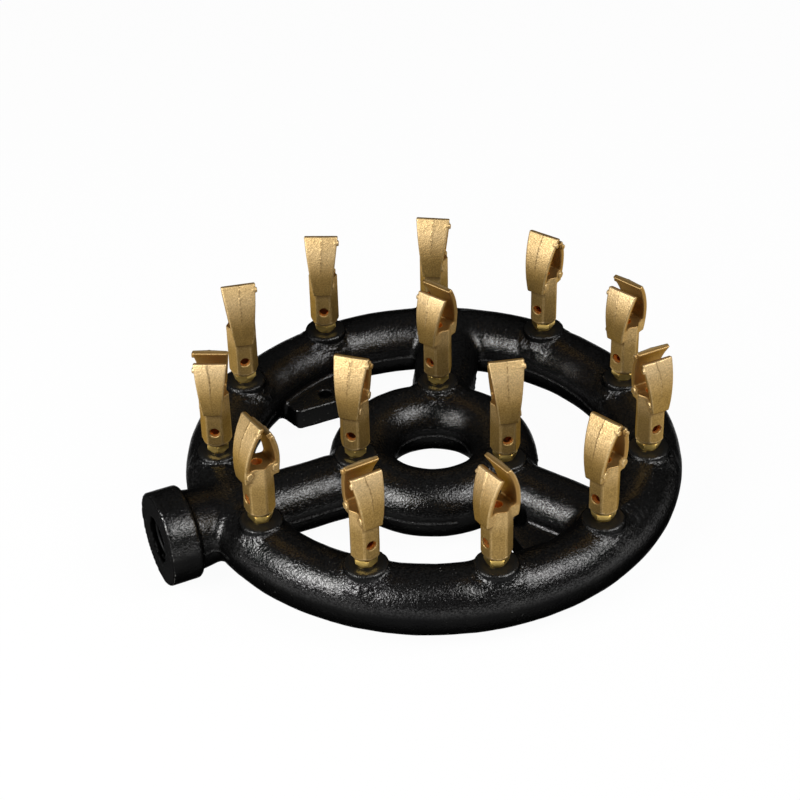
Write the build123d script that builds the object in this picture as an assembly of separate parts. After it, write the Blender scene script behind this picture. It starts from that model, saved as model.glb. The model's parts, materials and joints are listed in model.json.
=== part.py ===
from build123d import *
from build123d.topology import SkipClean
import math
import os

# Jet burner: a hollow cast iron manifold with a ring of brass jets and a second, inner ring.
# Millimetres. The origin is the centre of the gas inlet's mouth, +X runs from there to the
# middle of the rings, +Z is up, and every tube of the casting has its axis on z = 0.

# Casting: the two rings and the spokes between them
ring_radius = 108.0        # centre line of the outer ring
ring_tube = 16.7           # outside radius of the outer ring's tube
hub_radius = 35.8          # centre line of the inner ring
hub_tube = 16.7            # outside radius of the inner ring's tube
spoke_tube = 16.4          # outside radius of a spoke
spoke_count = 3            # the first is in line with the inlet
casting_wall = 4.5         # iron round the gas passage
corner_fillet = 6.0        # casting fillet where the tubes meet

# Casting: the inlet
inlet_length = 39.5        # mouth to the outer ring's centre line
collar_radius = 23.4
collar_length = 16.0
collar_round = 2.0         # rounded back edge of the collar
neck_radius = 20.3         # neck where it leaves the collar
inlet_thread_radius = 10.5  # half inch pipe thread, major radius
inlet_thread_depth = 18.0
inlet_passage_radius = 9.0  # gas way behind the thread

# Casting: bosses that carry the jets
boss_radius = 10.5         # flat top
boss_foot_radius = 12.5    # where the boss runs into its tube
boss_height = 18.8         # top, above the tubes' centre plane
boss_depth = 13.0          # top to foot

# Casting: two lugs with bolt holes inside the outer ring, tops on the centre plane
lug_thickness = 11.5
lug_hole_radius = 3.3      # clearance for M6
lug_round = 2.0            # rounded free corners
wide_lug_angle = 109.6     # degrees round the ring to its hole
wide_lug_inset = 27.2      # hole, inwards of the outer ring's centre line
wide_lug_edge = 9.1        # hole to the straight inner edge
wide_lug_left = 19.3       # hole to one end of that edge
wide_lug_right = 15.4      # hole to the other end
wide_lug_splay = 17.0      # degrees that its ends lean apart
narrow_lug_angle = 284.2
narrow_lug_inset = 42.0
narrow_lug_edge = 9.0
narrow_lug_half_width = 7.2
narrow_lug_splay = 15.0    # degrees that its spoke side leans out

# Jets on their two circles
outer_jet_count = 11
outer_jet_turn = -1.0      # degrees that the outer circle is turned from the inlet's axis
inner_jet_turn = 1.4       # degrees that the inner circle is turned from the spokes
outer_jet_inset = 0.5      # jet circle, inwards of the outer ring's centre line
inner_jet_offset = 6.7     # jet circle, outwards of the inner ring's centre line

# Orifice: hexagon fitting screwed into a boss
thread_radius = 4.0        # both threaded ends
thread_fit = 0.05          # radial room in a threaded hole
orifice_root = 6.0         # lower thread, below the boss top
orifice_seat_radius = 4.4  # turned foot on the boss
orifice_flats = 10.5       # across flats
orifice_hex_top = 4.8      # top of the hexagon, above the boss
orifice_stem = 6.0         # upper thread, above the hexagon
gas_hole_radius = 0.9
gas_hole_length = 2.5
feed_radius = 2.4          # wide drilling below the gas hole

# Jet head: cast brass, screwed on the orifice, with a tall and a short blade round its mouth
head_flats = 13.4          # across flats
head_corner = 0.8          # rounded corners of the hexagon
head_clearance = 0.3       # head above the orifice's hexagon
head_foot_radius = 6.0
head_foot_angle = 35.0     # degrees from upright of the cone at its foot
shelf_rise = 28.8          # foot to the shelf where the mouth begins
air_hole_radius = 2.5
air_hole_gap = 1.0         # top of the upper thread to the air hole
chamber_gap = 0.5          # air hole to the roof of the mixing chamber
mixing_radius = 2.5        # bore from the chamber to the mouth
blade_bow = 46.0           # radius of a blade's outer face
blade_bulge = 9.8          # that face at its widest, from the head's axis
blade_bulge_drop = 1.7     # its widest place, below the shelf
blade_wall = 2.9
blade_root_width = 9.5
blade_flare = 7.4          # degrees that each side of a blade leans out
blade_root_sweep = 7.4     # degrees of bow below the widest place
tall_sweep = 34.3          # degrees of bow above the widest place
short_sweep = 27.9
blade_top_slope = 17.0     # degrees that a blade's top falls inwards
stub_rise = 0.6            # cast stubs on one side of each blade
low_stub_radius = 1.9
low_stub_reach = 6.9       # lower stub, from the head's axis
low_stub_drop = 2.9        # lower stub, below the shelf
top_stub_radius = 1.4
top_stub_sweep = 4.0       # degrees of bow from a blade's top to its upper stub

# Which way each tall blade faces, degrees round the part
outer_head_turns = [-171, 95, 12, -157, 92, 23, -149, -122, -116, -102, 63]
inner_head_turns = [-131, -105, 27]

# Worked out from the sizes above
centre_x = inlet_length + ring_radius
ring_passage = ring_tube - casting_wall
hub_passage = hub_tube - casting_wall
spoke_passage = spoke_tube - casting_wall
thread_hole_radius = thread_radius + thread_fit
orifice_top = orifice_hex_top + orifice_stem
head_foot = orifice_hex_top + head_clearance
shelf_height = head_foot + shelf_rise
blade_widest = shelf_height - blade_bulge_drop
air_hole_height = orifice_top + air_hole_gap + air_hole_radius
chamber_top = air_hole_height + air_hole_radius + chamber_gap
tan_foot = math.tan(math.radians(head_foot_angle))


def polar(radius, angle):
    # Point on a circle round the middle of the rings
    turn = math.radians(angle)
    return Vector(radius * math.cos(turn), radius * math.sin(turn), 0)


def tube_between(start, end, radius, end_radius=None):
    # Level round bar from one point to another, straight or tapered, its seam at the bottom
    along = end - start
    plane = Plane(origin=start, x_dir=(0, 0, -1), z_dir=along)
    align = (Align.CENTER, Align.CENTER, Align.MIN)
    if end_radius is None:
        return plane * Cylinder(radius, along.length, align=align)
    return plane * Cone(radius, end_radius, along.length, align=align)


def ring(radius, tube):
    # Round tube bent into a level ring, made of one arc to each spoke
    section = Plane(origin=(radius, 0, 0), x_dir=(1, 0, 0), z_dir=(0, -1, 0)) * Circle(tube)
    arc = revolve(section, Axis.Z, 360 / spoke_count)
    arcs = [Rot(Z=angle + 180 / spoke_count) * arc for angle in spoke_angles]
    return arcs[0] + arcs[1:]


def rod(radius, bottom, top):
    # Upright cylinder on the local axis
    align = (Align.CENTER, Align.CENTER, Align.MIN)
    return Pos(0, 0, bottom) * Cylinder(radius, top - bottom, align=align)


def taper(bottom_radius, top_radius, bottom, top):
    # Upright cone on the local axis
    align = (Align.CENTER, Align.CENTER, Align.MIN)
    return Pos(0, 0, bottom) * Cone(bottom_radius, top_radius, top - bottom, align=align)


def hexagon_bar(flats, corner, bottom, top):
    # Upright hexagon with two flats across the local X axis
    outline = RegularPolygon(flats / 2, 6, major_radius=False, rotation=30)
    if corner > 0:
        outline = fillet(outline.vertices(), corner)
    return Pos(0, 0, bottom) * extrude(outline, top - bottom)


spoke_angles = [180 + i * 360 / spoke_count for i in range(spoke_count)]
outer_step = 360 / outer_jet_count
outer_jet_angles = [180 + outer_jet_turn + (i + 0.5) * outer_step for i in range(outer_jet_count)]
outer_jets = [polar(ring_radius - outer_jet_inset, angle) for angle in outer_jet_angles]
inner_jets = [polar(hub_radius + inner_jet_offset, angle + inner_jet_turn) for angle in spoke_angles]
mouth = Vector(-centre_x, 0, 0)
collar_back = mouth + Vector(collar_length, 0, 0)
thread_end = mouth + Vector(inlet_thread_depth, 0, 0)
neck_end = Vector(-ring_radius, 0, 0)


def wide_lug():
    # Lug with a long straight edge along the inlet's axis, widening towards the ring
    hole = polar(ring_radius - wide_lug_inset, wide_lug_angle)
    edge_y = hole.Y - wide_lug_edge
    root_y = polar(ring_radius, wide_lug_angle).Y
    left = hole.X - wide_lug_left
    right = hole.X + wide_lug_right
    lean = (root_y - edge_y) * math.tan(math.radians(wide_lug_splay))
    outline = Polygon(
        (left, edge_y),
        (right, edge_y),
        (right + lean, root_y),
        (left - lean, root_y),
        align=None,
    )
    free_corners = outline.vertices().sort_by(Axis.Y)[:2]
    return fillet(free_corners, lug_round), hole


def narrow_lug():
    # Narrow tab pointing inwards beside a spoke
    hole = polar(ring_radius - narrow_lug_inset, narrow_lug_angle)
    edge_y = hole.Y + narrow_lug_edge
    root_y = polar(ring_radius, narrow_lug_angle).Y
    slope = math.tan(math.radians(narrow_lug_splay))
    left = hole.X - narrow_lug_half_width
    right = hole.X + narrow_lug_half_width
    outline = Polygon(
        (left, root_y),
        (right + (hole.Y - root_y) * slope, root_y),
        (right - narrow_lug_edge * slope, edge_y),
        (left, edge_y),
        align=None,
    )
    free_corners = outline.vertices().sort_by(Axis.Y)[-2:]
    return fillet(free_corners, lug_round), hole


def tubes():
    # Rings, spokes and neck, centred on the rings, with fillets where they meet
    body = ring(ring_radius, ring_tube) + ring(hub_radius, hub_tube)
    for angle in spoke_angles:
        body += tube_between(polar(hub_radius, angle), polar(ring_radius, angle), spoke_tube)
    body += tube_between(collar_back, neck_end, neck_radius, spoke_tube)
    seams = (GeomType.CIRCLE, GeomType.LINE)
    joints = [edge for edge in body.edges() if edge.geom_type not in seams]
    return fillet(joints, corner_fillet)


def passages():
    # Gas way through the inlet, neck, rings and spokes
    hollow = ring(ring_radius, ring_passage) + ring(hub_radius, hub_passage)
    for angle in spoke_angles:
        hollow += tube_between(polar(hub_radius, angle), polar(ring_radius, angle), spoke_passage)
    hollow += tube_between(mouth, neck_end, inlet_passage_radius)
    hollow += tube_between(mouth, thread_end, inlet_thread_radius)
    return hollow


def manifold():
    # Faces stay as they were cut, because merging them spoils the ring tubes
    with SkipClean():
        body = tubes()
        collar = tube_between(mouth, collar_back, collar_radius)
        body += fillet(collar.edges().sort_by(Axis.X)[-1], collar_round)
        for place in outer_jets + inner_jets:
            boss = taper(boss_foot_radius, boss_radius, boss_height - boss_depth, boss_height)
            body += Pos(place) * boss
        lugs = (wide_lug(), narrow_lug())
        for outline, hole in lugs:
            body += extrude(outline, -lug_thickness)
        body -= passages()
        for place in outer_jets + inner_jets:
            body -= Pos(place) * rod(thread_hole_radius, 0, boss_height)
        for outline, hole in lugs:
            body -= Pos(hole) * rod(lug_hole_radius, -lug_thickness, 0)
    return body


def orifice():
    # Turned and drilled hexagon fitting, local origin on the boss top
    cone_rise = orifice_flats / math.sqrt(3) - orifice_seat_radius
    hexagon = hexagon_bar(orifice_flats, 0, 0, orifice_hex_top)
    turned = taper(orifice_seat_radius, orifice_seat_radius + cone_rise, 0, cone_rise)
    turned += rod(orifice_seat_radius + cone_rise, cone_rise, orifice_hex_top)
    body = hexagon & turned
    body += rod(thread_radius, -orifice_root, 0)
    body += rod(thread_radius, orifice_hex_top, orifice_top)
    feed_end = orifice_top - gas_hole_length
    body -= rod(feed_radius, -orifice_root, feed_end)
    body -= rod(gas_hole_radius, feed_end, orifice_top)
    return body


def on_bow(radius, sweep):
    # Point of a blade's side view: distance from the head's axis, and height
    turn = math.radians(sweep)
    x = blade_bulge - blade_bow + radius * math.cos(turn)
    z = blade_widest + radius * math.sin(turn)
    return x, z


def top_corner(inside, sweep):
    # Where a blade's sloping top meets its inner face
    turn = math.radians(sweep)
    slope = math.radians(blade_top_slope)
    span = blade_bow * math.cos(turn - slope)
    depth = span - math.sqrt(span ** 2 - blade_bow ** 2 + inside ** 2)
    x, z = on_bow(blade_bow, sweep)
    return x - depth * math.cos(slope), z - depth * math.sin(slope)


def blade_half_width(height):
    root_height = on_bow(blade_bow, -blade_root_sweep)[1]
    return blade_root_width / 2 + (height - root_height) * math.tan(math.radians(blade_flare))


def blade(sweep):
    # Bowed plate on the +X side, rooted on the shank's flat and widening upwards
    inside = blade_bow - blade_wall
    root = on_bow(blade_bow, -blade_root_sweep)
    top = on_bow(blade_bow, sweep)
    top_inside = top_corner(inside, sweep)
    foot_turn = math.degrees(math.asin(blade_bulge_drop / inside))
    foot_inside = on_bow(inside, foot_turn)
    core = head_flats / 4
    outline = Line((core, root[1]), root)
    outline += ThreePointArc(root, on_bow(blade_bow, (sweep - blade_root_sweep) / 2), top)
    outline += Line(top, top_inside)
    outline += ThreePointArc(top_inside, on_bow(inside, (sweep + foot_turn) / 2), foot_inside)
    outline += Polyline(foot_inside, (core, shelf_height), (core, root[1]))
    side_view = Plane.XZ * make_face(outline)
    low = blade_half_width(root[1])
    high = blade_half_width(top[1])
    front_view = Plane.YZ * Polygon(
        (-low, root[1]),
        (low, root[1]),
        (high, top[1]),
        (-high, top[1]),
        align=None,
    )
    plate = extrude(side_view, 2 * high, both=True)
    plate &= extrude(front_view, 2 * blade_bulge, both=True)
    middle = blade_bow - blade_wall / 2
    low_place = (low_stub_reach, shelf_height - low_stub_drop)
    top_place = on_bow(middle, sweep - top_stub_sweep)
    for (x, z), radius in ((low_place, low_stub_radius), (top_place, top_stub_radius)):
        stub = Cylinder(radius, 2 * stub_rise)
        plate += Pos(x, blade_half_width(z), z) * Rot(X=90) * stub
    return plate


def mirrored_blade(sweep):
    # Blade on the -X side, with its stubs on the same edge of the head
    return mirror(blade(sweep), about=Plane.YZ)


def jet_head():
    # Local origin on the boss top, tall blade towards +X
    shank = hexagon_bar(head_flats, head_corner, head_foot, shelf_height)
    cone_rise = (head_flats / math.sqrt(3) - head_foot_radius) / tan_foot
    reach = head_foot_radius + cone_rise * tan_foot
    turned = taper(head_foot_radius, reach, head_foot, head_foot + cone_rise)
    turned += rod(reach, head_foot + cone_rise, shelf_height)
    body = shank & turned
    body += blade(tall_sweep)
    body += mirrored_blade(short_sweep)
    body -= rod(thread_hole_radius, head_foot, chamber_top)
    roof = chamber_top + thread_hole_radius - mixing_radius
    body -= taper(thread_hole_radius, mixing_radius, chamber_top, roof)
    body -= rod(mixing_radius, roof, shelf_height)
    air_hole = Pos(0, 0, air_hole_height) * Rot(Y=90) * Cylinder(air_hole_radius, 2 * head_flats)
    body -= air_hole
    return body


def write(name, shape):
    placed = Pos(centre_x, 0, 0) * shape
    placed.label = name
    export_step(placed, f"parts/{name}.step")


os.makedirs("parts", exist_ok=True)
write("manifold", manifold())
fitting = orifice()
head = jet_head()
for ring_name, places, turns in (
    ("outer", outer_jets, outer_head_turns),
    ("inner", inner_jets, inner_head_turns),
):
    for number, place in enumerate(places):
        seat = Pos(place.X, place.Y, boss_height)
        turn = turns[number % len(turns)]
        write(f"{ring_name}_jet_orifice_{number + 1:02d}", seat * fitting)
        write(f"{ring_name}_jet_head_{number + 1:02d}", seat * Rot(Z=turn) * head)
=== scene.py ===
import json
import math
import bpy
import numpy as np
from mathutils import Matrix, Vector, noise

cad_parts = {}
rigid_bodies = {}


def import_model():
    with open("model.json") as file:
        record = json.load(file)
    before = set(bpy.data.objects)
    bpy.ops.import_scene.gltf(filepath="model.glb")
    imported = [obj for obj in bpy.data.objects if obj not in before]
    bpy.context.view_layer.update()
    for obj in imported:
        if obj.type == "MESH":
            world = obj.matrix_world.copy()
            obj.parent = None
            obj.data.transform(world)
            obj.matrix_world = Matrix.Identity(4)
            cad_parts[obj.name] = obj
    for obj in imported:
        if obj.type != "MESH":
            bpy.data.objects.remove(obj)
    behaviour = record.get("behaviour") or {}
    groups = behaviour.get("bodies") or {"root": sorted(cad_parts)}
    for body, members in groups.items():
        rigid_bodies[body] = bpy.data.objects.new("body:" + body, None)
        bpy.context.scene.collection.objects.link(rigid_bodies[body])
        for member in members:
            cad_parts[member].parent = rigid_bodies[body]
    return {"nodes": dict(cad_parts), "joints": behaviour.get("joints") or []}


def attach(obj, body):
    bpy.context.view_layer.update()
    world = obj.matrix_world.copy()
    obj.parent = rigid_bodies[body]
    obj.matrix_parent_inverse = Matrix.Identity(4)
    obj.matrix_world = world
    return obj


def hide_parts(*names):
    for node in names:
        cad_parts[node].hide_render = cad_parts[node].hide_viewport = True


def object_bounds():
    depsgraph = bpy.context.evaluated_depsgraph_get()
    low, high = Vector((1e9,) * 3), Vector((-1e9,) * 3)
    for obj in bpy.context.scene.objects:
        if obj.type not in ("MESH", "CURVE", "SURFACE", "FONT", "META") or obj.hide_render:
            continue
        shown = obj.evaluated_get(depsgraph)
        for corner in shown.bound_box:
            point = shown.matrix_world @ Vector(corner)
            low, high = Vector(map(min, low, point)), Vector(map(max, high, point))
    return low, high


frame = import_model()
cadLow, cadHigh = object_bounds()
mm = 0.001  # shapes are worked out in millimetres and scaled once, when they become a mesh


def degrees(angle):
    return math.radians(angle)


# Shapes are written as distance fields: negative inside, positive outside, millimetres
netting = {  # how a field becomes a mesh
    "atOnce": 150000,  # points worked out together
    "pulls": 3,  # times that each vertex is drawn on to the true surface
    "probe": 0.05,  # millimetres to each side when a slope is measured
    "leastSlope": 0.25,  # keeps a pull short where the field is flat
    "longestPull": 0.5,  # cells
}
outOfReach = 1e3  # millimetres, further off than any shape
noiseStep = (17.3, -9.1, 5.7)  # how far apart two seeds read the noise


def softUnion(a, b, r):
    corner = np.hypot(np.maximum(r - a, 0), np.maximum(r - b, 0))
    return np.maximum(r, np.minimum(a, b)) - corner


def softMeet(a, b, r):
    corner = np.hypot(np.maximum(r + a, 0), np.maximum(r + b, 0))
    return np.minimum(-r, np.maximum(a, b)) + corner


def ease(low, high, x):
    t = np.clip((x - low) / (high - low), 0, 1)
    return t * t * (3 - 2 * t)


def gradient(field, points, step):
    slopes = []
    for axis in np.eye(3):
        slopes.append((field(points + axis * step) - field(points - axis * step)) / (2 * step))
    return np.column_stack(slopes)


def bending(field, points, step):  # positive on edges that stand out, negative in corners
    total = -6 * field(points)
    for axis in np.eye(3):
        total = total + field(points + axis * step) + field(points - axis * step)
    return total / step ** 2


def sampleGrid(field, low, cell, counts):
    axes = [l + cell * np.arange(n) for l, n in zip(low, counts)]
    values = np.empty(counts)
    slab = max(1, netting["atOnce"] // (counts[1] * counts[2]))
    for first in range(0, counts[0], slab):
        xs = axes[0][first:first + slab]
        grid = np.meshgrid(xs, axes[1], axes[2], indexing="ij")
        points = np.column_stack([g.ravel() for g in grid])
        values[first:first + slab] = field(points).reshape(grid[0].shape)
    return values


def netVertices(values, cells):  # one vertex in each cell that the surface crosses
    spots = np.argwhere(cells)
    total = np.zeros((len(spots), 3))
    hits = np.zeros(len(spots))
    for a in range(3):
        b, c = (a + 1) % 3, (a + 2) % 3
        for i in (0, 1):
            for j in (0, 1):
                start = spots.copy()
                start[:, b] += i
                start[:, c] += j
                end = start.copy()
                end[:, a] += 1
                va, vb = values[tuple(start.T)], values[tuple(end.T)]
                cut = (va < 0) != (vb < 0)
                crossing = start[cut].astype(float)
                crossing[:, a] += va[cut] / (va[cut] - vb[cut])
                total[cut] += crossing
                hits[cut] += 1
    return total / hits[:, None]


def netFaces(inside, index):  # one quad round each grid edge that the surface crosses
    quads = []
    for a in range(3):
        order = (a, (a + 1) % 3, (a + 2) % 3)
        turned = np.transpose(inside, order)
        cells = np.transpose(index, order)
        start, end = turned[:-1, 1:-1, 1:-1], turned[1:, 1:-1, 1:-1]
        spots = np.argwhere(start != end)
        leaving = start[tuple(spots.T)]
        p, q, r = spots[:, 0], spots[:, 1] + 1, spots[:, 2] + 1
        ring = np.column_stack((
            cells[p, q, r], cells[p, q - 1, r], cells[p, q - 1, r - 1], cells[p, q, r - 1],
        ))
        ring[~leaving] = ring[~leaving][:, ::-1]
        quads.append(ring)
    return np.vstack(quads)


def surfaceNet(field, low, high, cell):
    counts = [int(math.ceil((h - l) / cell)) + 1 for l, h in zip(low, high)]
    values = sampleGrid(field, low, cell, counts)
    inside = values < 0
    corners = sum(inside[i:counts[0] - 1 + i, j:counts[1] - 1 + j, k:counts[2] - 1 + k].astype(int)
                  for i in (0, 1) for j in (0, 1) for k in (0, 1))
    cells = (corners > 0) & (corners < 8)
    index = np.full(cells.shape, -1)
    index[cells] = np.arange(cells.sum())
    verts = np.array(low) + cell * netVertices(values, cells)
    longest = netting["longestPull"] * cell
    for _ in range(netting["pulls"]):
        slope = gradient(field, verts, netting["probe"])
        steep = np.maximum((slope ** 2).sum(1), netting["leastSlope"])
        move = slope * (field(verts) / steep)[:, None]
        verts = verts - np.clip(move, -longest, longest)
    return verts, netFaces(inside, index)


def ragged(z, even, uneven, quick, slow):  # a strength that comes and goes along a seam
    return even + uneven * np.sin(z * quick) * np.sin(z * slow + 1)


def lumps(points, size, seed):
    shift = Vector([seed * step for step in noiseStep])
    return np.array([noise.noise(Vector(p) / size + shift) for p in points])


def makeMesh(name, verts, faces, marks):
    mesh = bpy.data.meshes.new(name)
    mesh.from_pydata((verts * mm).tolist(), [], faces)
    mesh.polygons.foreach_set("use_smooth", np.ones(len(mesh.polygons), bool))
    for label, values in marks.items():
        layer = mesh.attributes.new(label, "FLOAT", "POINT")
        layer.data.foreach_set("value", values.astype(np.float32))
    mesh.update()
    return mesh


def addPiece(name, mesh, material, body, replaced=()):
    piece = bpy.data.objects.new(name, mesh)
    bpy.context.scene.collection.objects.link(piece)
    mesh.materials.clear()
    mesh.materials.append(material)
    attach(piece, body)
    if replaced:
        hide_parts(*replaced)


# Shader helpers
def newFinish(name):
    finish = bpy.data.materials.new(name)
    finish.use_nodes = True
    tree = finish.node_tree
    tree.nodes.clear()
    out = tree.nodes.new("ShaderNodeOutputMaterial")
    shader = tree.nodes.new("ShaderNodeBsdfPrincipled")
    tree.links.new(shader.outputs[0], out.inputs[0])
    return finish, tree, shader


def addNode(tree, kind, inputs=None, **settings):
    node = tree.nodes.new(kind)
    for key, value in settings.items():
        setattr(node, key, value)
    for key, value in (inputs or {}).items():
        if isinstance(value, bpy.types.NodeSocket):
            tree.links.new(value, node.inputs[key])
        else:
            node.inputs[key].default_value = value
    return node


def place(tree):
    return addNode(tree, "ShaderNodeTexCoord").outputs["Object"]


def grain(tree, size, detail=2.0, rough=0.5, distort=0.0, stretch=None):  # size in millimetres
    at = place(tree)
    if stretch:
        at = addNode(tree, "ShaderNodeMapping", {"Vector": at, "Scale": stretch}).outputs[0]
    return addNode(tree, "ShaderNodeTexNoise", {
        "Vector": at, "Scale": 1 / (size * mm), "Detail": detail, "Roughness": rough, "Distortion": distort,
    }).outputs["Fac"]


def mark(tree, name):
    return addNode(tree, "ShaderNodeAttribute", attribute_name=name).outputs["Fac"]


def reach(tree, value, low, high, toLow=0.0, toHigh=1.0):
    wanted = {"Value": value, "From Min": low, "From Max": high, "To Min": toLow, "To Max": toHigh}
    return addNode(tree, "ShaderNodeMapRange", wanted).outputs["Result"]


def maths(tree, job, a, b):
    return addNode(tree, "ShaderNodeMath", {0: a, 1: b}, operation=job).outputs[0]


def blendColour(tree, share, a, b, mode="MIX"):
    node = addNode(tree, "ShaderNodeMix", {0: share, 6: a, 7: b}, data_type="RGBA", blend_type=mode)
    return node.outputs[2]


def scaled(tree, value, factor):  # a colour or a direction
    return addNode(tree, "ShaderNodeVectorMath", {0: value, "Scale": factor}, operation="SCALE").outputs[0]


def bump(tree, height, strength, depth):  # depth in millimetres
    wanted = {"Height": height, "Strength": strength, "Distance": depth * mm}
    return addNode(tree, "ShaderNodeBump", wanted).outputs["Normal"]


# In the finishes, a grain is its size in millimetres, its detail and its roughness. Where a range has two
# numbers it becomes 0 to 1, and where it has four the last two say what it becomes

# Blacked sand cast iron: glossy and lighter on faces that turn upwards, matte below with painted shade in a
# darker tone on faces that turn downwards
ironFinish = {
    "sand": (1.0, 2.0, 0.6),
    "pebbles": (2.6, 2.0, 0.5),
    "patches": (24.0, 3.0, 0.55),
    "stipple": (1.0, 1.0, 0.5),
    "creases": (2.4, 2.0, 0.6),
    "glints": (0.9, 1.0, 0.5),
    "scuffs": (0.7, 2.0, 0.6),
    "pebbleHeight": 0.5,  # against the sand's
    "stippleHeight": 2.0,
    "creaseHeight": 2.0,
    "cutLoss": 0.9,  # share of the sand's height that a cut face has lost
    "speckSize": 2.0,  # millimetres
    "speckEdge": (0.16, 0.06),
    "speckPatches": (0.5, 0.62),
    "speckWear": 0.25,
    "bump": (1.0, 0.26),  # strength, depth in millimetres
    # painted shade: the darker tone of faces that turn downwards
    "shadeBelowTone": ((0.007, 0.007, 0.0075, 1), (0.012, 0.012, 0.0115, 1)),
    "shiny": ((0.042, 0.042, 0.043, 1), (0.057, 0.056, 0.054, 1)),
    "glint": (0.36, 0.64, 0.55, 1.45),
    "bare": (0.02, 0.02, 0.02, 1),
    "flat": (0.055, 0.054, 0.051, 1),
    # painted shade deep in the inlet's bore
    "bore": (0.002, 0.002, 0.002, 1),
    "worn": (0.36, 0.36, 0.34, 1),
    "wornFrom": (0.54, 0.64),
    "polish": (0.4, 1.5, 0.42, 0.15),
    "cutRoughness": 0.2,
    "metallic": 0.92,
    "specular": 0.0,
    "grazing": (0.15, 0.15, 0.15, 1),  # tint of a face seen from its side
}


def makeBlackIron():
    s = ironFinish
    finish, tree, shader = newFinish("black_iron")
    sand = grain(tree, *s["sand"])
    pebbles = grain(tree, *s["pebbles"])
    patches = grain(tree, *s["patches"])
    bare = mark(tree, "machined")
    flat = mark(tree, "flat")
    bore = mark(tree, "bore")
    edge = mark(tree, "edge")
    seam = mark(tree, "seam")
    glossAndPaintedShade = mark(tree, "glossAndPaintedShade")
    crumple = mark(tree, "crumple")
    smooth = maths(tree, "MAXIMUM", bare, flat)
    rough = maths(tree, "SUBTRACT", 1.0, maths(tree, "MULTIPLY", smooth, s["cutLoss"]))
    height = maths(tree, "ADD", sand, maths(tree, "MULTIPLY", pebbles, s["pebbleHeight"]))
    height = maths(tree, "MULTIPLY", height, rough)
    stipple = maths(tree, "MULTIPLY", grain(tree, *s["stipple"]), seam)
    height = maths(tree, "ADD", height, maths(tree, "MULTIPLY", stipple, s["stippleHeight"]))
    wanted = {"Vector": place(tree), "Scale": 1 / (s["speckSize"] * mm)}
    specks = reach(tree, addNode(tree, "ShaderNodeTexVoronoi", wanted).outputs["Distance"], *s["speckEdge"])
    specks = maths(tree, "MULTIPLY", specks, reach(tree, patches, *s["speckPatches"]))
    height = maths(tree, "ADD", height, maths(tree, "MULTIPLY", specks, rough))
    creases = maths(tree, "MULTIPLY", grain(tree, *s["creases"]), crumple)
    height = maths(tree, "ADD", height, maths(tree, "MULTIPLY", creases, s["creaseHeight"]))
    tree.links.new(bump(tree, height, *s["bump"]), shader.inputs["Normal"])
    shadeBelowTone = blendColour(tree, patches, *s["shadeBelowTone"])
    shiny = blendColour(tree, patches, *s["shiny"])
    shiny = scaled(tree, shiny, reach(tree, grain(tree, *s["glints"]), *s["glint"]))
    # painted shade: faces that turn downwards take the darker tone, upward faces and seams the lighter
    # shiny one
    tone = blendColour(tree, glossAndPaintedShade, shadeBelowTone, shiny)
    tone = blendColour(tree, bare, tone, s["bare"])
    tone = blendColour(tree, flat, tone, s["flat"])
    # painted shade inside the inlet's bore
    tone = blendColour(tree, bore, tone, s["bore"])
    worn = reach(tree, maths(tree, "MULTIPLY", edge, grain(tree, *s["scuffs"])), *s["wornFrom"])
    worn = maths(tree, "MAXIMUM", worn, maths(tree, "MULTIPLY", specks, s["speckWear"]))
    tone = blendColour(tree, worn, tone, s["worn"])
    tree.links.new(tone, shader.inputs["Base Color"])
    polish = reach(tree, maths(tree, "ADD", patches, glossAndPaintedShade), *s["polish"])
    polish = maths(tree, "ADD", polish, maths(tree, "MULTIPLY", smooth, s["cutRoughness"]))
    tree.links.new(polish, shader.inputs["Roughness"])
    shader.inputs["Metallic"].default_value = s["metallic"]
    shader.inputs["Specular IOR Level"].default_value = s["specular"]
    shader.inputs["Specular Tint"].default_value = s["grazing"]
    return finish


# Brass as it comes from the mould, with painted shade low on the blades and painted light near their tops
brassFinish = {
    "skin": (0.75, 2.0, 0.6),
    "clouds": (7.0, 3.0, 0.55),
    "rubs": (2.2, 2.0, 0.5),
    "wrinkles": (1.8, 1.0, 0.4, 1.5),  # the last is its distortion
    "wrinkleSpots": (8.0, 1.0, 0.5),
    "tones": ((0.55, 0.38, 0.15, 1), (0.65, 0.465, 0.20, 1)),
    # painted shade: the darker tone of the shank below the blades
    "shank": (0.39, 0.26, 0.085, 1),
    "shades": (0.6, 1.3),
    "tints": ((1.1, 1.0, 0.76, 1), (0.96, 1.0, 1.26, 1)),  # low on a blade with painted shade, high on it with painted light
    "pits": (0.35, 0.7, 0.74, 1.1),
    "rub": (0.35, 0.65, 0.2, 0.9),
    "rubbed": (0.80, 0.60, 0.32, 1),
    # seam tone, also painted shadow under the blades' roots
    "seam": (0.17, 0.10, 0.035, 1),
    # painted shade on the blades' inner faces
    "inside": (0.42, 0.255, 0.09, 1),
    # orange tint in the bore and air holes, brighter than the outer brass as painted light inside them
    "hollow": (1.0, 0.54, 0.16, 1),
    "polish": (0.3, 0.7, 0.62, 0.50),
    "edgePolish": 0.08,
    "grazing": (0.60, 0.42, 0.20, 1),
    "wrinkleEdge": (0.49, 0.51),
    "wrinkled": (0.66, 0.72),
    "wrinkleHeight": 5.0,  # against the skin's
    "bump": (0.8, 0.2),
}


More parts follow.
